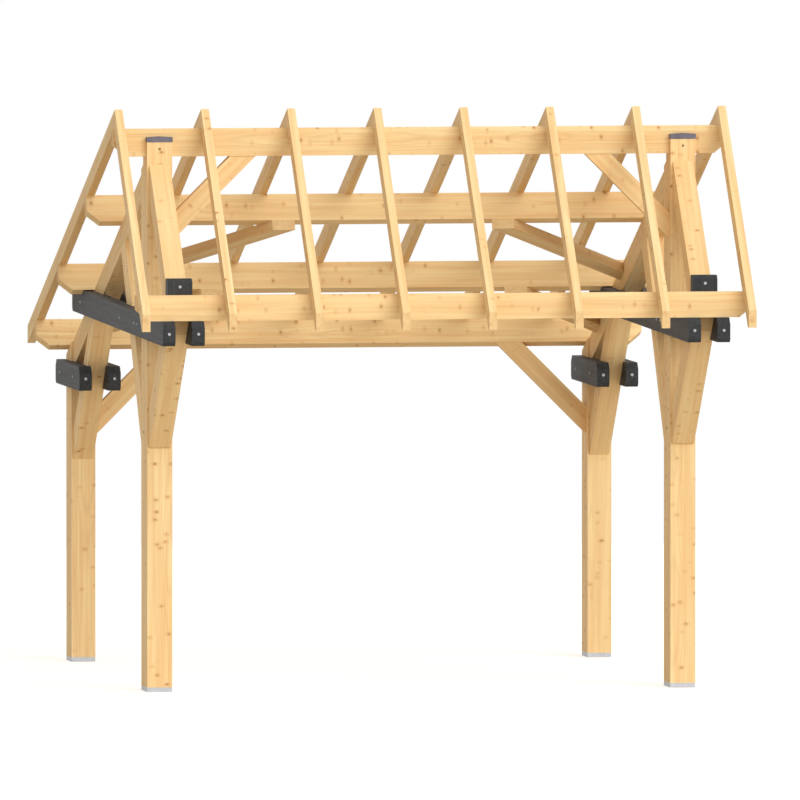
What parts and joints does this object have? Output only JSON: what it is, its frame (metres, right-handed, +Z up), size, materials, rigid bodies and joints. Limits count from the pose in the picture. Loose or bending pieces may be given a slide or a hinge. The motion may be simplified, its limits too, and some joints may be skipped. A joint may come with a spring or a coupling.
{
  "type": "carport",
  "caption": "Open timber-framed carport with an uneven gable roof: steep short front slope, long low rear slope, forked tall posts, struts and clamping tie boards.",
  "frame": {"origin": "on the ground, at the centre of the roof's outline in plan", "axes": "+X along the ridge to the right, -Y to the tall front, +Z up"},
  "size_m": [3.561, 4.698, 3.342],
  "materials": {
    "timber_frame": "planed spruce, matt",
    "timber_purlin": "planed spruce, matt",
    "timber_brace": "planed spruce, matt",
    "timber_rafter": "sawn spruce, matt",
    "stained_timber": "charcoal stain, matt",
    "galvanised_steel": "galvanised",
    "zinc_sheet": "weathered zinc"
  },
  "bodies": {
    "root": {"post_feet": "galvanised_steel", "left_tall_post": "timber_frame", "left_rear_post": "timber_frame", "left_front_principal": "timber_frame", "left_rear_principal": "timber_frame", "left_front_strut": "timber_frame", "left_inner_strut": "timber_frame", "left_rear_strut": "timber_frame", "left_long_tie": "stained_timber", "left_short_tie": "stained_timber", "right_tall_post": "timber_frame", "right_rear_post": "timber_frame", "right_front_principal": "timber_frame", "right_rear_principal": "timber_frame", "right_front_strut": "timber_frame", "right_inner_strut": "timber_frame", "right_rear_strut": "timber_frame", "right_long_tie": "stained_timber", "right_short_tie": "stained_timber", "purlin_blocks": "stained_timber", "post_caps": "zinc_sheet", "ridge_purlin": "timber_purlin", "front_purlin": "timber_purlin", "upper_purlin": "timber_purlin", "lower_purlin": "timber_purlin", "rear_purlin": "timber_purlin", "ridge_braces": "timber_brace", "rear_braces": "timber_brace", "upper_purlin_braces": "timber_brace", "lower_purlin_braces": "timber_brace", "front_rafter_1": "timber_rafter", "rear_rafter_1": "timber_rafter", "front_rafter_2": "timber_rafter", "rear_rafter_2": "timber_rafter", "front_rafter_3": "timber_rafter", "rear_rafter_3": "timber_rafter", "front_rafter_4": "timber_rafter", "rear_rafter_4": "timber_rafter", "front_rafter_5": "timber_rafter", "rear_rafter_5": "timber_rafter", "front_rafter_6": "timber_rafter", "rear_rafter_6": "timber_rafter", "front_rafter_7": "timber_rafter", "rear_rafter_7": "timber_rafter", "front_rafter_8": "timber_rafter", "rear_rafter_8": "timber_rafter"}
  },
  "joints": []
}
